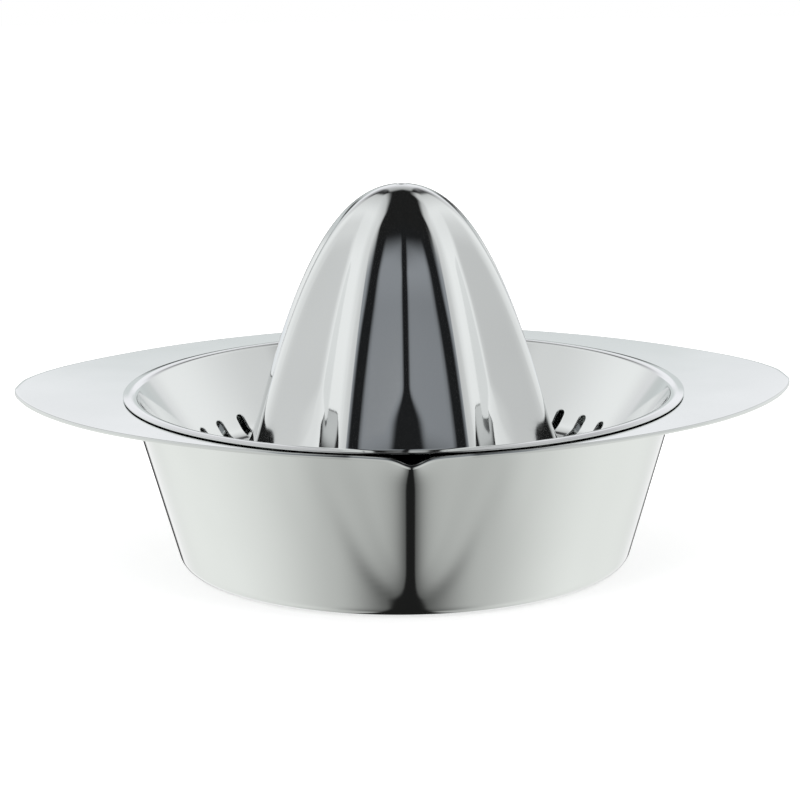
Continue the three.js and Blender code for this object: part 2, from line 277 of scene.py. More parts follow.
@dataclass
class JuiceBowl:
    """The bowl: one drawn sheet with a pinched spout and an almond flange.

    The flange's cut edge is an almond set back by the offset. The spout is two facets that meet
    at the front and narrow to a point on the wall, with a faint hollow outside each.
    """

    height: float = 46.3
    sheet: float = 1.1
    base_radius: float = 60.9
    mouth_radius: float = 74.1
    base_bend: float = 4.0
    under_lip_bend: float = 0.8
    lip_radius: float = 76.24
    half_length: float = 106.0
    half_depth: float = 84.5
    offset: float = 7.3
    fullness: float = 1.673
    roundness: float = 0.5675
    wing_rise: float = 1.0
    edge_bend: float = 0.35
    spout_angle: float = 18.5
    spout_depth: float = 41.0
    spout_fullness: float = 0.8
    spout_roundness: float = 0.5
    spout_edge: float = 15.0
    spout_lip_edge: float = 3.0
    spout_blend: float = 0.9
    spout_hollow: float = 0.15
    spout_hollow_width: float = 3.5
    spout_hollow_shift: float = 0.5
    lip_dip: float = 1.6
    dip_half_width: float = 3.5
    dip_reach: float = 10.0
    pole_radius: float = 1.0
    columns: int = 640
    crowds: int = 4
    crowding: float = 0.75
    longest: float = 2.0
    base_steps: int = 12
    under_lip_steps: int = 6
    lip_steps: int = 8
    edge_steps: int = 6
    flange_shares: tuple[float, ...] = (0.02, 0.08, 0.2, 0.35, 0.5, 0.65, 0.8, 0.92, 0.98)

    def __post_init__(self) -> None:
        """Works out what follows from the sizes."""
        self.lean = math.atan2(self.mouth_radius - self.base_radius, self.height)
        self.mouth_inner = self.mouth_radius - self.sheet / math.cos(self.lean)
        self.lip_bend = self.under_lip_bend + self.sheet

    def directions(self) -> np.ndarray:
        """Angles of the columns, close together at the spout, the grips' points and the back."""
        even = FULL_TURN * np.arange(self.columns) / self.columns
        return FRONT + even - self.crowding * np.sin(self.crowds * even) / self.crowds

    def stretch(self, angle: np.ndarray, depth: float) -> np.ndarray:
        """Pinches the spout at one level of the wall.

        Args:
            angle: angles of the columns.
            depth: how far the level lies below the lip.

        Returns:
            How far the wall stands out at each angle, as a share of the round wall's radius.
        """
        facet_angle = math.radians(self.spout_angle)
        remaining = 1 - min(1.0, depth / self.spout_depth) ** self.spout_fullness
        narrowing = 1 - remaining**self.spout_roundness
        bend = self.spout_edge + (self.spout_lip_edge - self.spout_edge) * self.lip_nearness(depth)
        edge = bend * math.tan(facet_angle) / self.mouth_radius
        off_front = np.abs((angle - FRONT + math.pi) % FULL_TURN - math.pi)
        within = np.maximum(-facet_angle, facet_angle - np.hypot(off_front, edge))
        bulge = np.sign(within) * (1 / np.cos(within) - 1)
        facet = math.cos(facet_angle * narrowing) * (1 + bulge)
        blend = self.spout_blend / self.mouth_radius
        shared = np.maximum(0, blend - np.abs(facet - 1))
        hollow_angle = self.spout_hollow_width / self.mouth_radius
        off_facet = (off_front - facet_angle * (1 - narrowing)) / hollow_angle
        bell = np.exp(-((off_facet - self.spout_hollow_shift) ** 2))
        hollow = 4 * narrowing * (1 - narrowing) * self.spout_hollow * bell
        return np.maximum(1, facet) + shared**2 / (4 * blend) - hollow / self.mouth_radius

    def lip_nearness(self, depth: float) -> float:
        """1 at the lip, and none from the lip's reach down."""
        return max(0.0, 1 - depth / self.dip_reach) ** 2

    def dip(self, points: np.ndarray, depth: float) -> np.ndarray:
        """How far the spout's edge hangs below the lip, at points of one level."""
        bell = np.exp(-((points[:, 0] / self.dip_half_width) ** 2))
        return np.where(points[:, 1] < 0, self.lip_dip * self.lip_nearness(depth) * bell, 0)

    def edge(self, angle: np.ndarray) -> np.ndarray:
        """Finds the flange's cut edge by halving.

        Args:
            angle: angles of the columns.

        Returns:
            The edge's distance from the axis at each angle.
        """
        inside = np.zeros_like(angle)
        outside = np.full_like(angle, self.half_length)
        for _ in range(HALVINGS):
            radius = (inside + outside) / 2
            along = np.minimum(1, np.abs(radius * np.cos(angle)) / self.half_length)
            across = np.abs(radius * np.sin(angle) - self.offset) / self.half_depth
            within = across < (1 - along**self.fullness) ** self.roundness
            inside = np.where(within, radius, inside)
            outside = np.where(within, outside, radius)
        return np.maximum(inside, self.lip_radius * self.stretch(angle, 0))

    def wall_ring(self, radius: float, height: float, angle: np.ndarray) -> np.ndarray:
        """One ring of the wall, pinched at the spout.

        Args:
            radius: the round wall's radius.
            height: height of the ring.
            angle: angles of the columns.

        Returns:
            The ring's points.
        """
        depth = self.height - height
        points = around(radius * self.stretch(angle, depth), angle, height)
        points[:, 2] -= self.dip(points, depth)
        return points

    def flange_ring(
        self, share: float, inner: float, height: float, trim: float, angle: np.ndarray
    ) -> np.ndarray:
        """One ring of the flange.

        Args:
            share: place between the bend, 0, and the cut edge, 1.
            inner: radius at which the bend ends.
            height: height of the ring.
            trim: how far the ring keeps back from the cut edge.
            angle: angles of the columns.

        Returns:
            The ring's points.
        """
        start = inner * self.stretch(angle, 0)
        points = around(start + (self.edge(angle) - trim - start) * share, angle, height)
        outward = (np.abs(points[:, 0]) - self.lip_radius) / (self.half_length - self.lip_radius)
        points[:, 2] += self.wing_rise * np.maximum(0, outward) ** 2 - self.dip(points, 0)
        return points

    def cut_edge(self, inner: float, under: float, angle: np.ndarray) -> list[np.ndarray]:
        """Rings round the flange's cut edge, from its underside to its top.

        Args:
            inner: radius at which the bend ends.
            under: height of the flange's underside.
            angle: angles of the columns.

        Returns:
            The rings.
        """
        rings = []
        flat = self.sheet / 2 - self.edge_bend
        for step in range(self.edge_steps + 1):
            turn = math.pi * step / self.edge_steps - math.pi / 2
            trim = self.edge_bend * (1 - math.cos(turn))
            lift = self.sheet / 2 + flat * np.sign(turn) + self.edge_bend * math.sin(turn)
            rings.append(self.flange_ring(1, inner, under + lift, trim, angle))
        return rings

    def build(self) -> bpy.types.Object:
        """Builds the bowl's closed sheet from its underside up, over the flange and down inside.

        Returns:
            The bowl's object.
        """
        slope = math.tan(self.lean)
        under = self.height - self.sheet
        under_mouth = self.mouth_radius - self.sheet * slope
        floor = self.base_radius - self.sheet / math.cos(self.lean) + self.sheet * slope
        outside = section([
            Corner(self.pole_radius, 0),
            Corner(self.base_radius, 0, self.base_bend, self.base_steps),
            Corner(under_mouth, under, self.under_lip_bend, self.under_lip_steps),
            Corner(self.lip_radius, under),
        ], self.longest)
        inside = section([
            Corner(self.lip_radius, self.height),
            Corner(self.mouth_inner, self.height, self.lip_bend, self.lip_steps),
            Corner(floor, self.sheet, self.base_bend - self.sheet, self.base_steps),
            Corner(self.pole_radius, self.sheet),
        ], self.longest)
        outside = outside[: self.last_bent(outside, under) + 1]
        inside = inside[self.first_bent(inside):]
        angle = self.directions()
        lower_end, upper_end = outside[-1][0], inside[0][0]
        trim = self.edge_bend
        rings = [self.wall_ring(radius, height, angle) for radius, height in outside]
        for share in self.flange_shares:
            rings.append(self.flange_ring(share, lower_end, under, trim, angle))
        rings += self.cut_edge(lower_end, under, angle)
        for share in self.flange_shares[::-1]:
            rings.append(self.flange_ring(share, upper_end, self.height, trim, angle))
        rings += [self.wall_ring(radius, height, angle) for radius, height in inside]
        mesh = SheetMesh()
        first, last = mesh.loft(np.array(rings))
        mesh.cap(0, first, self.columns, Winding.REVERSED)
        mesh.cap(self.sheet, last, self.columns, Winding.FORWARD)
        return mesh.make("bowl_sheet")

    @staticmethod
    def last_bent(path: np.ndarray, flat: float) -> int:
        """Index of the first point that has reached the flat height."""
        return int(np.argmax(np.abs(path[:, 1] - flat) < LEVEL_GAP))

    @staticmethod
    def first_bent(path: np.ndarray) -> int:
        """Index of the last point at the height at which a path starts."""
        return int(np.argmax(np.abs(path[:, 1] - path[0, 1]) > LEVEL_GAP)) - 1


@dataclass
class StrainerDish:
    """The insert's dish: a low domed rim, a steep wall and a ring of slots round the floor.

    Places on the sheet are given along its section, from the edge of the floor's hole outwards,
    and across it, so that a slot is drawn flat and bent round the dish.
    """

    bowl: JuiceBowl
    sheet: float = 0.7
    depth: float = 21.0
    slope: float = 54.0
    bend: float = 8.0
    clearance: float = 0.4
    seat_clearance: float = 0.3
    rim_radius: float = 75.89
    rim_height: float = 1.0
    rim_dome: float = 10.0
    rim_dome_bend: float = 4.0
    rim_bend: float = 1.5
    rim_edge_bend: float = 0.1
    rim_reach: float = 1.5
    rim_longest: float = 1.0
    rim_margin: float = 0.12
    hole_radius: float = 49.53
    slots: int = 40
    slot_width: float = 2.7
    slot_inner: float = 50.93
    slot_outer: float = 60.83
    slot_edge: float = 0.12
    margin: float = 0.6
    beyond: float = 2.2
    columns: int = 10
    side_rows: int = 8
    hole_rows: int = 3
    longest: float = 1.5
    bend_steps: int = 24
    rim_steps: int = 10
    dome_steps: int = 6
    rim_edge_steps: int = 4
    under_rim_steps: int = 6
    spread_shares: tuple[float, ...] = (0.0, 0.14, 0.4, 0.7, 1.0)
    weld: float = 0.004

    def __post_init__(self) -> None:
        """Works out what follows from the sizes, and draws the upper face's section."""
        tilt = math.radians(self.slope)
        self.rise = math.tan(tilt)
        self.below = self.sheet * np.array([math.sin(tilt), -math.cos(tilt)])
        self.slope_outer = self.bowl.mouth_inner - self.clearance
        self.slope_inner = self.slope_outer - self.sheet / math.sin(tilt)
        self.floor = self.bowl.height - self.depth
        self.slope_foot = self.slope_inner - self.depth / self.rise
        self.pitch = FULL_TURN / self.slots
        self.path = self.upper()
        steps = np.linalg.norm(np.diff(self.path, axis=0), axis=1)
        self.along = np.concatenate([[0], np.cumsum(steps)])
        way = np.gradient(self.path, self.along, axis=0)
        self.tilt = np.arctan2(way[:, 1], way[:, 0])
        start, end = np.interp([self.slot_inner, self.slot_outer], self.path[:, 0], self.along)
        self.sector = (start - self.margin, end + self.beyond)
        self.slot_run = (start + self.slot_width / 2, end - self.slot_width / 2)

    def upper(self) -> np.ndarray:
        """Draws the section of the upper face.

        Returns:
            Its points, from the floor's hole out to the lip's height.
        """
        return section([
            Corner(self.hole_radius, self.floor),
            Corner(self.slope_foot, self.floor, self.bend, self.bend_steps),
            Corner(self.slope_inner, self.bowl.height),
        ], self.longest, self.margin / 2)

    def rim(self) -> np.ndarray:
        """Draws the section of the rim.

        Returns:
            Its points, from the slope over the dome and back under it to the slope.
        """
        lip = self.bowl.height
        under = lip + self.seat_clearance
        half = (self.rim_radius - self.slope_inner) / 2
        fall = math.tan(math.radians(self.rim_dome))
        bend = (self.rim_height - half * fall) / (1 - fall / self.rise)
        start = np.array([self.slope_inner - self.rim_reach, lip - self.rim_reach * self.rise])
        top = lip + self.rim_height
        under_bend = self.slope_outer + self.seat_clearance / self.rise
        return section([
            Corner(*start),
            Corner(self.slope_inner + bend / self.rise, lip + bend, self.rim_bend, self.rim_steps),
            Corner(self.rim_radius - half, top, self.rim_dome_bend, self.dome_steps),
            Corner(self.rim_radius, top - half * fall, self.rim_edge_bend, self.rim_edge_steps),
            Corner(self.rim_radius, under, self.rim_edge_bend, self.rim_edge_steps),
            Corner(under_bend, under, self.rim_bend - self.sheet, self.under_rim_steps),
            Corner(*(start + self.below)),
        ], self.rim_longest, self.rim_margin)

    def face_points(self, along: np.ndarray, sunk: float = 0.0) -> np.ndarray:
        """Finds places on the dish's upper face, or below it.

        Args:
            along: distances along the section.
            sunk: depth below the upper face.

        Returns:
            One row of distance from the axis and height for each place.
        """
        radius = np.interp(along, self.along, self.path[:, 0])
        height = np.interp(along, self.along, self.path[:, 1])
        tilt = np.interp(along, self.along, self.tilt)
        return np.stack([radius + sunk * np.sin(tilt), height - sunk * np.cos(tilt)], axis=1)

    def loop(self, outer: np.ndarray, inner: np.ndarray, half: float) -> np.ndarray:
        """Joins the two ends of an outline with its sides.

        Args:
            outer: points of its outer end.
            inner: points of its inner end, going back.
            half: half of its width between them.

        Returns:
            The outline's points, from its outer end round to it again.
        """
        start, end = self.slot_run
        side = np.linspace(end, start, self.side_rows + 2)[1:-1]
        down = np.stack([side, np.full_like(side, -half)], axis=1)
        return np.concatenate([outer, down, inner, down[::-1] * [1, -1]])

    def slot_loop(self, grow: float) -> np.ndarray:
        """Draws the outline of a slot on the flattened sheet.

        Args:
            grow: how far the outline stands outside the slot's own.

        Returns:
            The outline's points, along the section and across it.
        """
        half = self.slot_width / 2 + grow
        start, end = self.slot_run
        arc = np.linspace(math.pi / 2, -math.pi / 2, self.columns + 1)
        outer = np.stack([end + half * np.cos(arc), half * np.sin(arc)], axis=1)
        inner = np.stack([start - half * np.cos(arc), -half * np.sin(arc)], axis=1)
        return self.loop(outer, inner, half)

    def sector_loop(self) -> np.ndarray:
        """Draws the outline of a slot's sector of the dish.

        Returns:
            The outline's points, each opposite the same point of the slot's outline.
        """
        low, high = self.sector
        across = np.linspace(1, -1, self.columns + 1)
        outer = np.stack([np.full_like(across, high), across], axis=1)
        inner = np.stack([np.full_like(across, low), -across], axis=1)
        loop = self.loop(outer, inner, 1)
        loop[:, 1] *= self.face_points(loop[:, 0])[:, 0] * self.pitch / 2
        return loop

    def sheet_ring(self, loop: np.ndarray, sunk: float, middle: float) -> np.ndarray:
        """Bends an outline round the dish.

        Args:
            loop: distances along the section and across it.
            sunk: depth below the upper face.
            middle: angle of the sector's middle line.

        Returns:
            The points.
        """
        surface = self.face_points(loop[:, 0])[:, 0]
        radius, height = self.face_points(loop[:, 0], sunk).T
        return around(radius, middle + loop[:, 1] / surface, height)

    def build(self) -> bpy.types.Object:
        """Builds the dish: a sector with its slot, repeated round, the rim and the hole's edge.

        Returns:
            The dish's object.
        """
        mesh = SheetMesh()
        slot, grown, outline = self.slot_loop(0), self.slot_loop(self.slot_edge), self.sector_loop()
        face = [grown + (outline - grown) * share for share in self.spread_shares]
        cut_depths = (self.slot_edge, self.sheet / 2, self.sheet - self.slot_edge)
        for index in range(self.slots):
            middle = self.pitch * (index + 0.5)
            rings = [self.sheet_ring(loop, 0, middle) for loop in face[::-1]]
            rings += [self.sheet_ring(slot, depth, middle) for depth in cut_depths]
            rings += [self.sheet_ring(loop, self.sheet, middle) for loop in face]
            mesh.loft(np.array(rings))
        self.add_bands(mesh)
        return mesh.make("strainer_sheet", self.weld)

    def add_bands(self, mesh: SheetMesh) -> None:
        """Adds the sheet outside and inside the ring of sectors.

        Args:
            mesh: the mesh that the sheet is added to.
        """
        across = np.linspace(-1, 1, self.columns + 1)[:-1]
        angle = (self.pitch * (np.arange(self.slots)[:, None] + 0.5 + across / 2)).ravel()
        reach = self.along[-1] - self.rim_reach * math.hypot(1, self.rise)
        rows = np.arange(self.sector[1], reach - self.margin, self.longest)
        upper, lower = self.face_points(rows), self.face_points(rows, self.sheet)
        outer = np.concatenate([upper, self.rim(), lower[::-1]])
        rows = np.linspace(self.sector[0], 0, self.hole_rows)
        upper, lower = self.face_points(rows), self.face_points(rows, self.sheet)
        inner = np.concatenate([lower, upper[::-1]])
        for band in (outer, inner):
            mesh.loft(np.array([around(radius, angle, height) for radius, height in band]))


@dataclass
class ReamerCone:
    """The insert's cone: a hollow pressing with rounded ridges and flutes between them.

    The ridges' line is a curve from the crown to the foot. At each height the section has round
    ridges, straight flanks and round valleys, and near the foot it flares out to a circle.
    """

    dish: StrainerDish
    sheet: float = 1.0
    height: float = 77.6
    foot_radius: float = 49.23
    foot_land: float = 0.5
    ridges: int = 8
    ridge_bend: float = 5.0
    ridge_to_foot: float = 2.0
    flank: float = 20.0
    flute_top: float = 57.0
    flute_fade: float = 18.0
    valley_bend: float = 2.5
    valley_foot_bend: float = 14.0
    valley_foot_top: float = 29.0
    valley_foot_height: float = 11.0
    valley_flare: float = 20.0
    ridge_flare: float = 16.0
    dimple_radius: float = 1.6
    dimple_depth: float = 0.4
    crown_handle: float = 0.6228
    shoulder_radius: float = 0.8887
    shoulder_height: float = 0.1391
    foot_edge: float = 0.15
    foot_top_edge: float = 0.1
    columns: int = 40
    rows: int = 150
    crowding: float = 1.25
    inner_rows: int = 40
    first_inner_row: int = 2
    nudge: float = 1e-4

    def __post_init__(self) -> None:
        """Works out what follows from the sizes."""
        self.ridge_foot = self.foot_radius - self.foot_land - self.ridge_to_foot
        self.floor = self.dish.floor
        self.half_pitch = math.pi / self.ridges

    def ridge_line(self, share: np.ndarray) -> tuple[np.ndarray, np.ndarray]:
        """Follows the ridges' line.

        Args:
            share: places on it, from the crown at 0 to the foot at 1.

        Returns:
            The line's radius and height there.
        """
        rest = 1 - share
        near, middle, far = 3 * rest**2 * share, 3 * rest * share**2, share**3
        radius = self.ridge_foot * (near * self.crown_handle + middle * self.shoulder_radius + far)
        height = self.height * (rest**3 + near + middle * self.shoulder_height)
        return radius, height

    def fluted(self, off_valley: np.ndarray, crest: np.ndarray, height: np.ndarray) -> np.ndarray:
        """Draws the fluted section.

        Args:
            off_valley: angles from the middle of the flute.
            crest: radius of the ridges.
            height: height above the dish's floor.

        Returns:
            The radius at each angle.
        """
        bend = np.minimum(self.ridge_bend, crest)
        centre = crest - bend
        flank = math.radians(self.flank) * (1 - smooth((height - self.flute_top) / self.flute_fade))
        above_foot = height - self.valley_foot_top + self.valley_foot_height
        tight = smooth(above_foot / self.valley_foot_height)
        valley = self.valley_foot_bend + (self.valley_bend - self.valley_foot_bend) * tight
        distance = centre * np.cos(self.half_pitch + flank) + bend
        middle = (distance + valley) / np.cos(flank)
        valley_end = np.arctan2(valley * np.sin(flank), middle - valley * np.cos(flank))
        ridge_start = np.arctan2(
            centre * math.sin(self.half_pitch) - bend * np.sin(flank),
            centre * math.cos(self.half_pitch) + bend * np.cos(flank),
        )
        valley_arc = np.sqrt(np.maximum(0, valley**2 - (middle * np.sin(off_valley)) ** 2))
        in_valley = middle * np.cos(off_valley) - valley_arc
        on_flank = distance / np.cos(off_valley + flank)
        off_ridge = self.half_pitch - off_valley
        ridge_arc = np.sqrt(np.maximum(0, bend**2 - (centre * np.sin(off_ridge)) ** 2))
        on_ridge = centre * np.cos(off_ridge) + ridge_arc
        past_valley = np.where(off_valley < ridge_start, on_flank, on_ridge)
        return np.where(off_valley < valley_end, in_valley, past_valley)

    def surface(self, share: np.ndarray, angle: np.ndarray) -> np.ndarray:
        """Finds points of the outer face.

        Args:
            share: places along the ridges' line.
            angle: angles round the axis.

        Returns:
            The points.
        """
        pitch = 2 * self.half_pitch
        phase = (angle - FRONT) % pitch
        off_valley = np.minimum(phase, pitch - phase)
        crest, height = self.ridge_line(share)
        foot_crest = np.full_like(crest, self.ridge_foot)
        at_foot = self.fluted(off_valley, foot_crest, np.zeros_like(height))
        less_flare = self.valley_flare - self.ridge_flare
        reach = self.valley_flare - less_flare * off_valley / self.half_pitch
        below = np.maximum(0, 1 - height / reach)
        flare = (self.foot_radius - self.foot_land - at_foot) * (1 - np.sqrt(1 - below**2))
        radius = self.fluted(off_valley, crest, height) + flare
        sunk = self.dimple_depth * np.maximum(0, 1 - (radius / self.dimple_radius) ** 2) ** 2
        return around(radius, angle, self.floor + height - sunk)

    def inner(self, share: np.ndarray, angle: np.ndarray) -> np.ndarray:
        """Finds points of the inner face, one sheet below the outer one and square to it.

        Args:
            share: places along the ridges' line.
            angle: angles round the axis.

        Returns:
            The points.
        """
        nudge = self.nudge
        across = self.surface(share, angle + nudge) - self.surface(share, angle - nudge)
        lower = self.surface(np.minimum(1, share + nudge), angle)
        outward = np.cross(lower - self.surface(share - nudge, angle), across)
        outward /= np.linalg.norm(outward, axis=-1, keepdims=True)
        return self.surface(share, angle) - outward * self.sheet

    def build(self) -> bpy.types.Object:
        """Builds the cone's closed sheet, from its hollow side round the foot and up outside.

        Returns:
            The cone's object.
        """
        count = self.columns * self.ridges
        angle = FRONT + FULL_TURN * np.arange(count) / count
        outer_share = np.linspace(0, 1, self.rows + 1)[1:] ** self.crowding
        inner_share = np.linspace(0, 1, self.inner_rows + 1)[self.first_inner_row:]
        outer = self.surface(*np.meshgrid(outer_share[::-1], angle, indexing="ij"))
        inner = self.inner(*np.meshgrid(inner_share, angle, indexing="ij"))
        under = self.floor - self.sheet
        foot = [
            around(self.foot_radius - self.foot_edge, angle, under),
            around(self.foot_radius, angle, under + self.foot_edge),
            around(self.foot_radius, angle, self.floor - self.foot_top_edge),
            around(self.foot_radius - self.foot_top_edge, angle, self.floor),
        ]
        mesh = SheetMesh()
        first, last = mesh.loft(np.concatenate([inner, np.array(foot), outer]))
        top = self.floor + self.height - self.dimple_depth
        mesh.cap(top - self.sheet, first, count, Winding.REVERSED)
        mesh.cap(top, last, count, Winding.FORWARD)
        return mesh.make("reamer_sheet")


class Wire:
    """A node socket on which Python's operators add Math nodes."""

    def __init__(self, net: "Net", socket: bpy.types.NodeSocket) -> None:
        """Wraps a socket.

        Args:
            net: the net that the socket belongs to.
            socket: the output socket.
        """
        self.net = net
        self.socket = socket

    def maths(self, level: Level, first: "Wire | float", second: "Wire | float" = 0.0) -> "Wire":
        """Adds one Math node and returns its value."""
        settings = {"operation": level.value}
        return self.net.node("ShaderNodeMath", settings, {0: first, 1: second})["Value"]

    def __add__(self, other: "Wire | float") -> "Wire":
        """Sum."""
        return self.maths(Level.ADD, self, other)

    __radd__ = __add__

    def __sub__(self, other: "Wire | float") -> "Wire":
        """Difference."""
        return self.maths(Level.SUBTRACT, self, other)

    def __rsub__(self, other: float) -> "Wire":
        """Difference from a number."""
        return self.maths(Level.SUBTRACT, other, self)

    def __mul__(self, other: "Wire | float") -> "Wire":
        """Product."""
        return self.maths(Level.MULTIPLY, self, other)

    __rmul__ = __mul__

    def __abs__(self) -> "Wire":
        """Size without sign."""
        return self.maths(Level.SIZE, self)

    def eased(self, start: float, end: float) -> "Wire":
        """Share of the way from start to end, with level ends.

        Args:
            start: value at which the share is 0.
            end: value at which the share is 1.

        Returns:
            The share.
        """
        flip = start > end
        low, high = (end, start) if flip else (start, end)
        settings = {"interpolation_type": "SMOOTHSTEP"}
        sockets = {"Value": self, "From Min": low, "From Max": high}
        share = self.net.node("ShaderNodeMapRange", settings, sockets)["Result"]
        return 1 - share if flip else share


class Outputs:
    """The outputs of one node, by name."""

    def __init__(self, net: "Net", node: bpy.types.Node) -> None:
        """Keeps the node and its net."""
        self.net = net
        self.node = node

    def __getitem__(self, name: str) -> Wire:
        """One output as a wire."""
        return Wire(self.net, self.node.outputs[name])


class Net:
    """Builds the nodes of a material or a world."""

    def __init__(self, owner: bpy.types.Material | bpy.types.World) -> None:
        """Empties the owner's nodes.

        Args:
            owner: the material or world.
        """
        owner.use_nodes = True
        self.tree = owner.node_tree
        self.tree.nodes.clear()

    def node(self, kind: str, settings: dict | None = None, sockets: dict | None = None) -> Outputs:
        """Adds a node.

        Args:
            kind: the node's type.
            settings: its settings, such as a Math node's operation.
            sockets: values or wires of its inputs, by name or number.

        Returns:
            The node's outputs.
        """
        node = self.tree.nodes.new(kind)
        for name, value in (settings or {}).items():
            setattr(node, name, value)
        for name, value in (sockets or {}).items():
            socket = node.inputs[name]
            if isinstance(value, Wire):
                self.tree.links.new(value.socket, socket)
            else:
                socket.default_value = value
        return Outputs(self, node)

    def blend(self, share: "Wire | float", first: "Wire | tuple", second: "Wire | tuple") -> Wire:
        """Mixes two colours.

        Args:
            share: 0 for the first colour, 1 for the second.
            first: the first colour.
            second: the second colour.

        Returns:
            The mixed colour.
        """
        settings = {"data_type": "RGBA"}
        node = self.node("ShaderNodeMix", settings, {0: share, 6: first, 7: second})
        return Wire(self, node.node.outputs[2])

    def finish_with(self, shader: Wire, kind: str) -> None:
        """Links a shader to a new output node of the given type."""
        self.node(kind, None, {"Surface": shader})


@dataclass(frozen=True)
class Ramp:
    """A change that eases in along a value.

    Attributes:
        start: value at which it begins.
        end: value at which it is whole, which may be the lower of the two.
        size: what it comes to.
    """

    start: float
    end: float
    size: float = 1.0

    def on(self, value: Wire) -> Wire:
        """The change at a value."""
        share = value.eased(self.start, self.end)
        return share if self.size == 1 else share * self.size


@dataclass(frozen=True)
class Way:
    """A direction that the polish mirrors, with the angles that place it in the studio.

    Attributes:
        right: its share along +X.
        front: its share along -Y, the spout's way.
        up: its share along +Z.
        off: degrees off the upright plane through the spout.
        over: degrees up from the spout's way, over the top to 180 at the back.
        beside: degrees round from the spout's way.
        above: degrees above the horizon.
    """

    right: Wire
    front: Wire
    up: Wire
    off: Wire
    over: Wire
    beside: Wire
    above: Wire

    @classmethod
    def along(cls, right: Wire, front: Wire, up: Wire) -> "Way":
        """Works the angles out from the three shares.

        Args:
            right: share along +X.
            front: share along -Y.
            up: share along +Z.

        Returns:
            The direction.
        """
        turn = math.degrees(1)
        off = right.maths(Level.ARCSINE, abs(right)) * turn
        over = up.maths(Level.ANGLE, up, front) * turn
        beside = abs(right.maths(Level.ANGLE, right, front) * turn)
        return cls(right, front, up, off, over, beside, up.maths(Level.ARCSINE, up) * turn)

    def backward(self, dip: float) -> Wire:
        """Degrees off a direction to the back, below the horizon.

        Args:
            dip: degrees of that direction below the horizon.

        Returns:
            The angle.
        """
        dip = math.radians(dip)
        share = 0 - self.front * math.cos(dip) - self.up * math.sin(dip)
        return share.maths(Level.ARCCOSINE, share) * math.degrees(1)


@dataclass(frozen=True)
class PolishedSteel:
    """Mirror-polished stainless sheet.

    Attributes:
        name: the finish's name.
        tint: colour of the steel.
        haze: roughness where the polish is best.
        wear: how much rougher it gets in patches.
        patch_share: share of the patches in the wear, the rest being fine grain.
        dulling: where the patches are duller in colour.
        dull_share: share of the colour's brightness that is left there.
        wave: depth in metres of the sheet's slow waves.
        waves: scale of the waves to the metre, and their detail.
        grain: scale and detail of the fine grain.
        patches: scale and detail of the patches.
    """

    name: str
    tint: tuple[float, float, float]
    haze: float = 0.05
    wear: Ramp = Ramp(0.35, 0.7, 0.04)
    patch_share: float = 0.6
    dulling: Ramp = Ramp(0.35, 0.65)
    dull_share: float = 0.96
    wave: float = 0.00002
    waves: tuple[float, float] = (45.0, 1.0)
    grain: tuple[float, float] = (900.0, 3.0)
    patches: tuple[float, float] = (18.0, 2.0)

    def material(self) -> bpy.types.Material:
        """Builds the finish.

        Returns:
            The material.
        """
        made = bpy.data.materials.new(self.name)
        net = Net(made)
        place = net.node("ShaderNodeTexCoord")["Object"]
        noises = []
        for scale, detail in (self.waves, self.grain, self.patches):
            sockets = {"Vector": place, "Scale": scale, "Detail": detail}
            noises.append(net.node("ShaderNodeTexNoise", None, sockets)["Fac"])
        waves, grain, patches = noises
        worn = self.patch_share * patches + (1 - self.patch_share) * grain
        dull = tuple(self.dull_share * c for c in self.tint)
        bump = {"Strength": 1.0, "Distance": self.wave, "Height": waves}
        shader = net.node("ShaderNodeBsdfPrincipled", None, {
            "Base Color": net.blend(self.dulling.on(patches), (*self.tint, 1), (*dull, 1)),
            "Metallic": 1.0,
            "Roughness": self.haze + self.wear.on(worn),
            "Normal": net.node("ShaderNodeBump", None, bump)["Normal"],
        })
        net.finish_with(shader["BSDF"], "ShaderNodeOutputMaterial")
        return made


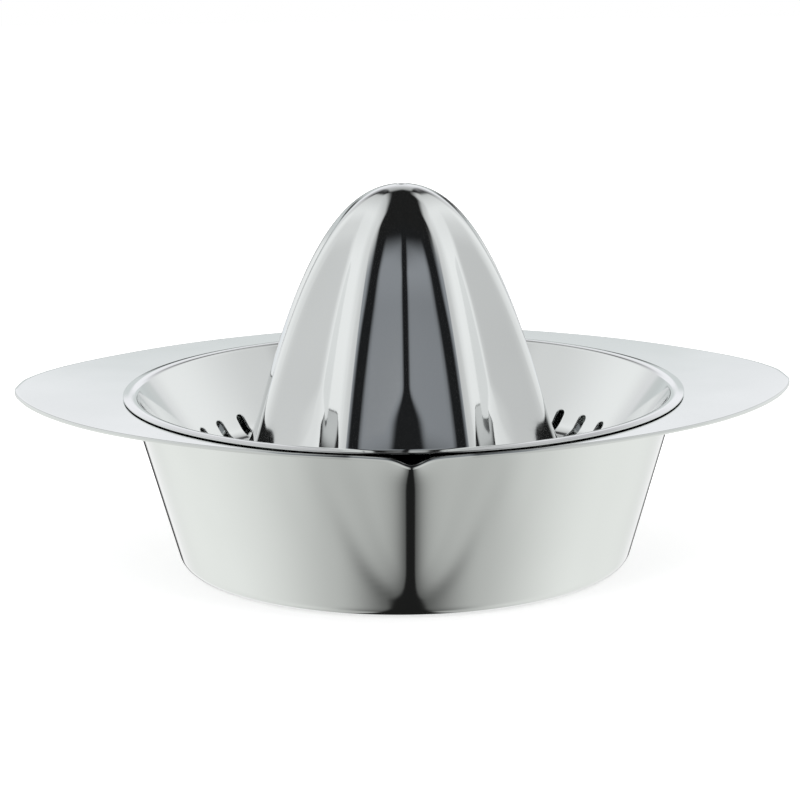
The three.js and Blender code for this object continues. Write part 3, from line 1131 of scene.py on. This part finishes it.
@dataclass(frozen=True)
class UpperTent:
    """The tent above the horizon, with a hard edge in front and a dark gap along the top.

    Sizes are brightness, 1 for white, or degrees where they move the gap. Ramps run over the
    degrees off the upright plane through the spout, or over what their name ends in.

    Attributes:
        dark: brightness of the gap.
        veil: faint glow in front.
        veil_moved_over: how much nearer to the plane the glow comes, high in front.
        edge: the tent's hard edge in front.
        side: rise beyond the edge.
        gap: half width of the gap at the top.
        gap_front_over: how much wider it gets to the front.
        gap_back_over: how much wider it gets to the back.
        gap_right_over: how much wider its right half is than its left one.
        halves_right: change from the left half to the right one.
        bank: soft edge of the tent at the top, by degrees past the gap.
        slope: slower rise there, by degrees past the gap.
        rest: rise farther from the plane.
        end_over: where the gap ends at the back.
        end: how bright its end is.
        rear_beside: where the rise to the back stands.
        rear: that rise.
        ahead_over: where the front takes over from the top.
        shade_right: how much darker the right side is.
        shade_over: where that shade fades in from the back.
    """

    dark: float = 0.012
    veil: Ramp = Ramp(20, 42, 0.27)
    veil_moved_over: Ramp = Ramp(30, 45, 7)
    edge: Ramp = Ramp(39.5, 43.5, 0.35)
    side: Ramp = Ramp(43, 85, 0.11)
    gap: float = 5.5
    gap_front_over: Ramp = Ramp(92, 76, 10)
    gap_back_over: Ramp = Ramp(131, 140, 10)
    gap_right_over: Ramp = Ramp(126, 114, 8)
    halves_right: Ramp = Ramp(-0.02, 0.02)
    bank: Ramp = Ramp(0, 10.5, 0.54)
    slope: Ramp = Ramp(6, 24, 0.17)
    rest: Ramp = Ramp(50, 75, 0.06)
    end_over: Ramp = Ramp(131, 141)
    end: Ramp = Ramp(10, 7, 0.4)
    rear_beside: Ramp = Ramp(92, 135)
    rear: Ramp = Ramp(24, 40, 0.17)
    ahead_over: Ramp = Ramp(88, 52)
    shade_right: Ramp = Ramp(0.3, 0.8, 0.09)
    shade_over: Ramp = Ramp(115, 70)

    def level(self, way: Way) -> Wire:
        """Finds the brightness in a direction above the horizon.

        Args:
            way: the direction.

        Returns:
            The brightness.
        """
        over, off = abs(way.over), way.off
        glow = self.veil.on(off + self.veil_moved_over.on(over))
        front = self.dark + glow + self.edge.on(off) + self.side.on(off)
        gap = self.gap + self.halves_right.on(way.right) * self.gap_right_over.on(over)
        gap = gap + self.gap_front_over.on(over) + self.gap_back_over.on(over)
        past = off - gap
        top = self.dark + self.bank.on(past) + self.slope.on(past) + self.rest.on(off)
        top = top + self.end_over.on(over) * self.end.on(off)
        top = top + self.rear_beside.on(way.beside) * self.rear.on(off)
        ahead = self.ahead_over.on(over)
        shade = self.shade_right.on(way.right) * self.shade_over.on(over)
        return (front * ahead + top * (1 - ahead)) * (1 - shade)


@dataclass(frozen=True)
class LowerTent:
    """The tent below the horizon, where its floor is open in front.

    Sizes and ramps are told as in the upper tent, and past means degrees past the opening.

    Attributes:
        dark: brightness of the opening.
        gap: half width of the opening, far below the horizon.
        gap_over: how much wider it gets towards the horizon in front.
        low_above: change from the horizon to the floor.
        edge_past: the opening's edge.
        near_past: rise beside it.
        far_past: where the slower rise stands.
        far: that rise at the horizon.
        far_low: that rise on the floor.
        floor: how much brighter the floor is.
        flank_beside: where the rise to the sides stands.
        flank: that rise at the horizon.
        flank_low: how much more it is on the floor.
        rear_beside: rise to the back.
    """

    dark: float = 0.013
    gap: float = 6.5
    gap_over: Ramp = Ramp(-30, 20, 13.5)
    low_above: Ramp = Ramp(0, -30)
    edge_past: Ramp = Ramp(-1, 2)
    near_past: Ramp = Ramp(-4, 22, 0.35)
    far_past: Ramp = Ramp(0, 50)
    far: float = 0.35
    far_low: float = 0.21
    floor: float = 0.06
    flank_beside: Ramp = Ramp(40, 110)
    flank: float = 0.05
    flank_low: float = 0.2
    rear_beside: Ramp = Ramp(110, 150, 0.08)

    def level(self, way: Way) -> Wire:
        """Finds the brightness in a direction below the horizon.

        Args:
            way: the direction.

        Returns:
            The brightness.
        """
        past = way.off - self.gap - self.gap_over.on(way.over)
        low = self.low_above.on(way.above)
        rise = self.floor * low + self.near_past.on(past)
        rise = rise + (self.far - (self.far - self.far_low) * low) * self.far_past.on(past)
        rise = rise + (self.flank + self.flank_low * low) * self.flank_beside.on(way.beside)
        rise = rise + self.rear_beside.on(way.beside)
        return self.dark + self.edge_past.on(past) * rise


@dataclass(frozen=True)
class Tent:
    """The white tent that the polish mirrors, coloured by direction.

    Attributes:
        upper: its part above the horizon.
        lower: its part below it.
        horizon_above: change from the lower part to the upper one.
        low_above: change from the wall's tint to the floor's.
        wall_tint: tint of the walls.
        floor_tint: tint of the floor.
        front_over, front_off, front_above: where the front has its own tint.
        front_tint: that tint.
        behind_beside: where the back begins, round from the front.
        panel_top, panel_foot: top and foot of the pale panel at the back.
        panel_above: change from the panel's lower colour to its upper one.
        panel_low_tint: its lower colour.
        panel_high_tint: its upper colour.
        sheet_top, sheet_foot: top and foot of the white sheet below the panel.
        disc: edge of the dark disc at the back, by degrees off its middle.
        disc_dip: degrees of its middle below the horizon.
        disc_tint: its colour.
    """

    upper: UpperTent = UpperTent()
    lower: LowerTent = LowerTent()
    horizon_above: Ramp = Ramp(-12, 2)
    low_above: Ramp = Ramp(0, -30)
    wall_tint: tuple[float, ...] = (0.985, 1.005, 1.0, 1)
    floor_tint: tuple[float, ...] = (0.99, 1.005, 0.98, 1)
    front_over: Ramp = Ramp(75, 50)
    front_off: Ramp = Ramp(44, 38)
    front_above: Ramp = Ramp(-8, 2)
    front_tint: tuple[float, ...] = (0.94, 1.0, 1.07, 1)
    behind_beside: Ramp = Ramp(140, 165)
    panel_top: Ramp = Ramp(42, 14)
    panel_foot: Ramp = Ramp(-2, 4)
    panel_above: Ramp = Ramp(10.3, 13.3)
    panel_low_tint: tuple[float, ...] = (0.64, 0.68, 0.68, 1)
    panel_high_tint: tuple[float, ...] = (0.93, 0.935, 0.965, 1)
    sheet_top: Ramp = Ramp(2, -4)
    sheet_foot: Ramp = Ramp(-60, -45)
    disc: Ramp = Ramp(19, 14)
    disc_dip: float = 12.0
    disc_tint: tuple[float, ...] = (0.05, 0.05, 0.05, 1)

    def colour(self, net: Net, way: Way) -> Wire:
        """Finds the tent's colour in a direction.

        Args:
            net: the world's nodes.
            way: the direction.

        Returns:
            The colour.
        """
        above = way.above
        high = self.horizon_above.on(above)
        level = self.upper.level(way) * high + self.lower.level(way) * (1 - high)
        front = self.front_over.on(way.over) * self.front_off.on(way.off)
        tint = net.blend(self.low_above.on(above), self.wall_tint, self.floor_tint)
        tint = net.blend(front * self.front_above.on(above), tint, self.front_tint)
        scaled = net.node("ShaderNodeVectorMath", {"operation": "SCALE"}, {0: tint, "Scale": level})
        behind = self.behind_beside.on(way.beside)
        panel = net.blend(self.panel_above.on(above), self.panel_low_tint, self.panel_high_tint)
        on_panel = behind * self.panel_top.on(above) * self.panel_foot.on(above)
        colour = net.blend(on_panel, scaled["Vector"], panel)
        on_sheet = behind * self.sheet_top.on(above) * self.sheet_foot.on(above)
        colour = net.blend(on_sheet, colour, WHITE)
        return net.blend(self.disc.on(way.backward(self.disc_dip)), colour, self.disc_tint)


@dataclass
class Studio:
    """Floor, lamp, world and camera.

    Attributes:
        eye_height: height of the point on the axis that the camera faces.
        distance: the camera's distance from that point.
        tilt: how far the camera looks down.
        turn: how far it looks to the right.
        roll: how far it is rolled.
        focal: its focal length.
        sensor: its sensor's width.
        shift: its shift to the right and up, as shares of the sensor.
        clip: nearest and farthest distance that it sees, in metres.
        floor_half: half of the floor's side, in metres.
        floor_drop: how far the floor lies below the underside, in metres.
        floor_tint: the floor's colour.
        floor_glow: strength that it gains where the camera sees it.
        lamp_size: the lamp's width, in metres.
        lamp_power: the lamp's power, in watts.
        lamp_place: the lamp's place, in metres.
        daylight: colour of the even light from all round.
    """

    eye_height: float = 46.3
    distance: float = 810.67
    tilt: float = 12.24
    turn: float = 1.35
    roll: float = -0.57
    focal: float = 134.3
    sensor: float = 36.0
    shift: tuple[float, float] = (-0.00442, -0.01213)
    clip: tuple[float, float] = (0.01, 50.0)
    floor_half: float = 1.6
    floor_drop: float = 0.0001
    floor_tint: tuple[float, ...] = (0.8, 0.8, 0.8, 1)
    floor_glow: float = 0.55
    lamp_size: float = 0.7
    lamp_power: float = 3.0
    lamp_place: tuple[float, float, float] = (0.1, -0.15, 0.9)
    daylight: tuple[float, ...] = (0.9, 0.9, 0.9, 1)

    def camera(self) -> None:
        """Sets the camera at the photograph's angle."""
        data = bpy.data.cameras.new("eye")
        data.lens = self.focal
        data.sensor_width = self.sensor
        data.shift_x, data.shift_y = self.shift
        data.clip_start, data.clip_end = self.clip
        eye = bpy.data.objects.new("eye", data)
        bpy.context.scene.collection.objects.link(eye)
        tilt, turn, roll = (math.radians(angle) for angle in (self.tilt, self.turn, self.roll))
        level = math.cos(tilt)
        ahead = Vector((math.sin(turn) * level, math.cos(turn) * level, -math.sin(tilt)))
        right = Vector((math.cos(turn), -math.sin(turn), 0))
        up = right.cross(ahead)
        across = right * math.cos(roll) + up * math.sin(roll)
        above = up * math.cos(roll) - right * math.sin(roll)
        place = Vector((0, 0, self.eye_height * MM)) - ahead * self.distance * MM
        axes = Matrix((across, above, -ahead)).transposed().to_4x4()
        eye.matrix_world = Matrix.Translation(place) @ axes
        bpy.context.scene.camera = eye

    def floor(self) -> None:
        """Lays a pale floor that the camera sees as white, with the object's soft shadow."""
        half = self.floor_half
        data = bpy.data.meshes.new("floor")
        corners = [(-half, -half, 0), (half, -half, 0), (half, half, 0), (-half, half, 0)]
        data.from_pydata(corners, [], [(0, 1, 2, 3)])
        slab = bpy.data.objects.new("floor", data)
        slab.location.z = -self.floor_drop
        bpy.context.scene.collection.objects.link(slab)
        made = bpy.data.materials.new("pale_floor")
        net = Net(made)
        seen = net.node("ShaderNodeLightPath")["Is Camera Ray"]
        plain = net.node("ShaderNodeBsdfDiffuse", None, {"Color": self.floor_tint})["BSDF"]
        glow = net.node("ShaderNodeEmission", None, {"Color": WHITE, "Strength": self.floor_glow})
        both = net.node("ShaderNodeAddShader", None, {0: plain, 1: glow["Emission"]})["Shader"]
        shader = net.node("ShaderNodeMixShader", None, {0: seen, 1: plain, 2: both})["Shader"]
        net.finish_with(shader, "ShaderNodeOutputMaterial")
        data.materials.append(made)
        slab.visible_glossy = False

    def world(self) -> None:
        """Lights the object evenly, and gives its polish the tent to mirror."""
        made = bpy.data.worlds.new("studio")
        bpy.context.scene.world = made
        net = Net(made)
        place = net.node("ShaderNodeTexCoord")["Generated"]
        axes = net.node("ShaderNodeSeparateXYZ", None, {"Vector": place})
        tent = Tent().colour(net, Way.along(axes["X"], 0 - axes["Y"], axes["Z"]))
        ray = net.node("ShaderNodeLightPath")
        colour = net.blend(ray["Is Glossy Ray"], self.daylight, tent)
        seen = net.blend(ray["Is Camera Ray"], colour, WHITE)
        back = net.node("ShaderNodeBackground", None, {"Color": seen, "Strength": 1.0})
        net.finish_with(back["Background"], "ShaderNodeOutputWorld")

    def lamp(self) -> None:
        """Hangs one broad soft lamp overhead, for the floor's shadow."""
        data = bpy.data.lights.new("overhead", "AREA")
        data.shape = "DISK"
        data.size = self.lamp_size
        data.energy = self.lamp_power
        lamp = bpy.data.objects.new("overhead", data)
        lamp.location = self.lamp_place
        lamp.rotation_euler = (-lamp.location).to_track_quat("-Z", "Y").to_euler()
        lamp.visible_glossy = False
        bpy.context.scene.collection.objects.link(lamp)


@dataclass
class Juicer:
    """The whole juicer."""

    bowl: JuiceBowl = field(default_factory=JuiceBowl)

    def dress(
        self, piece: bpy.types.Object, node: str, body: str, steel: PolishedSteel
    ) -> None:
        """Gives a piece its finish and body, and hides the CAD node that it stands for.
            body: the body that it rides on.
            steel: the finish.
        """
        piece.data.materials.append(steel.material())
        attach(piece, body)
        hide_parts(node)
        faces = len(piece.data.polygons)
        LOG.info("%s stands for %s on %s, %d faces", piece.name, node, body, faces)

    def build(self) -> None:
        """Builds and dresses the bowl, the dish and the cone."""
        dish = StrainerDish(self.bowl)
        cone = ReamerCone(dish)
        bowl_steel = PolishedSteel("bowl_polish", (0.87, 0.89, 0.88))
        dish_steel = PolishedSteel("dish_polish", (0.88, 0.89, 0.89))
        cone_steel = PolishedSteel("cone_polish", (0.89, 0.9, 0.9))
        self.dress(self.bowl.build(), "juice_bowl", "bowl", bowl_steel)
        self.dress(dish.build(), "strainer_dish", "insert", dish_steel)
        self.dress(cone.build(), "reamer_cone", "insert", cone_steel)


def main() -> None:
    """Builds the juicer and its studio."""
    logging.basicConfig(level=logging.INFO, format="%(message)s")
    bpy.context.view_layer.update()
    Juicer().build()
    studio = Studio()
    studio.camera()
    studio.floor()
    studio.lamp()
    studio.world()
    bpy.context.scene.view_settings.view_transform = "Standard"


if __name__ == "__main__":
    main()
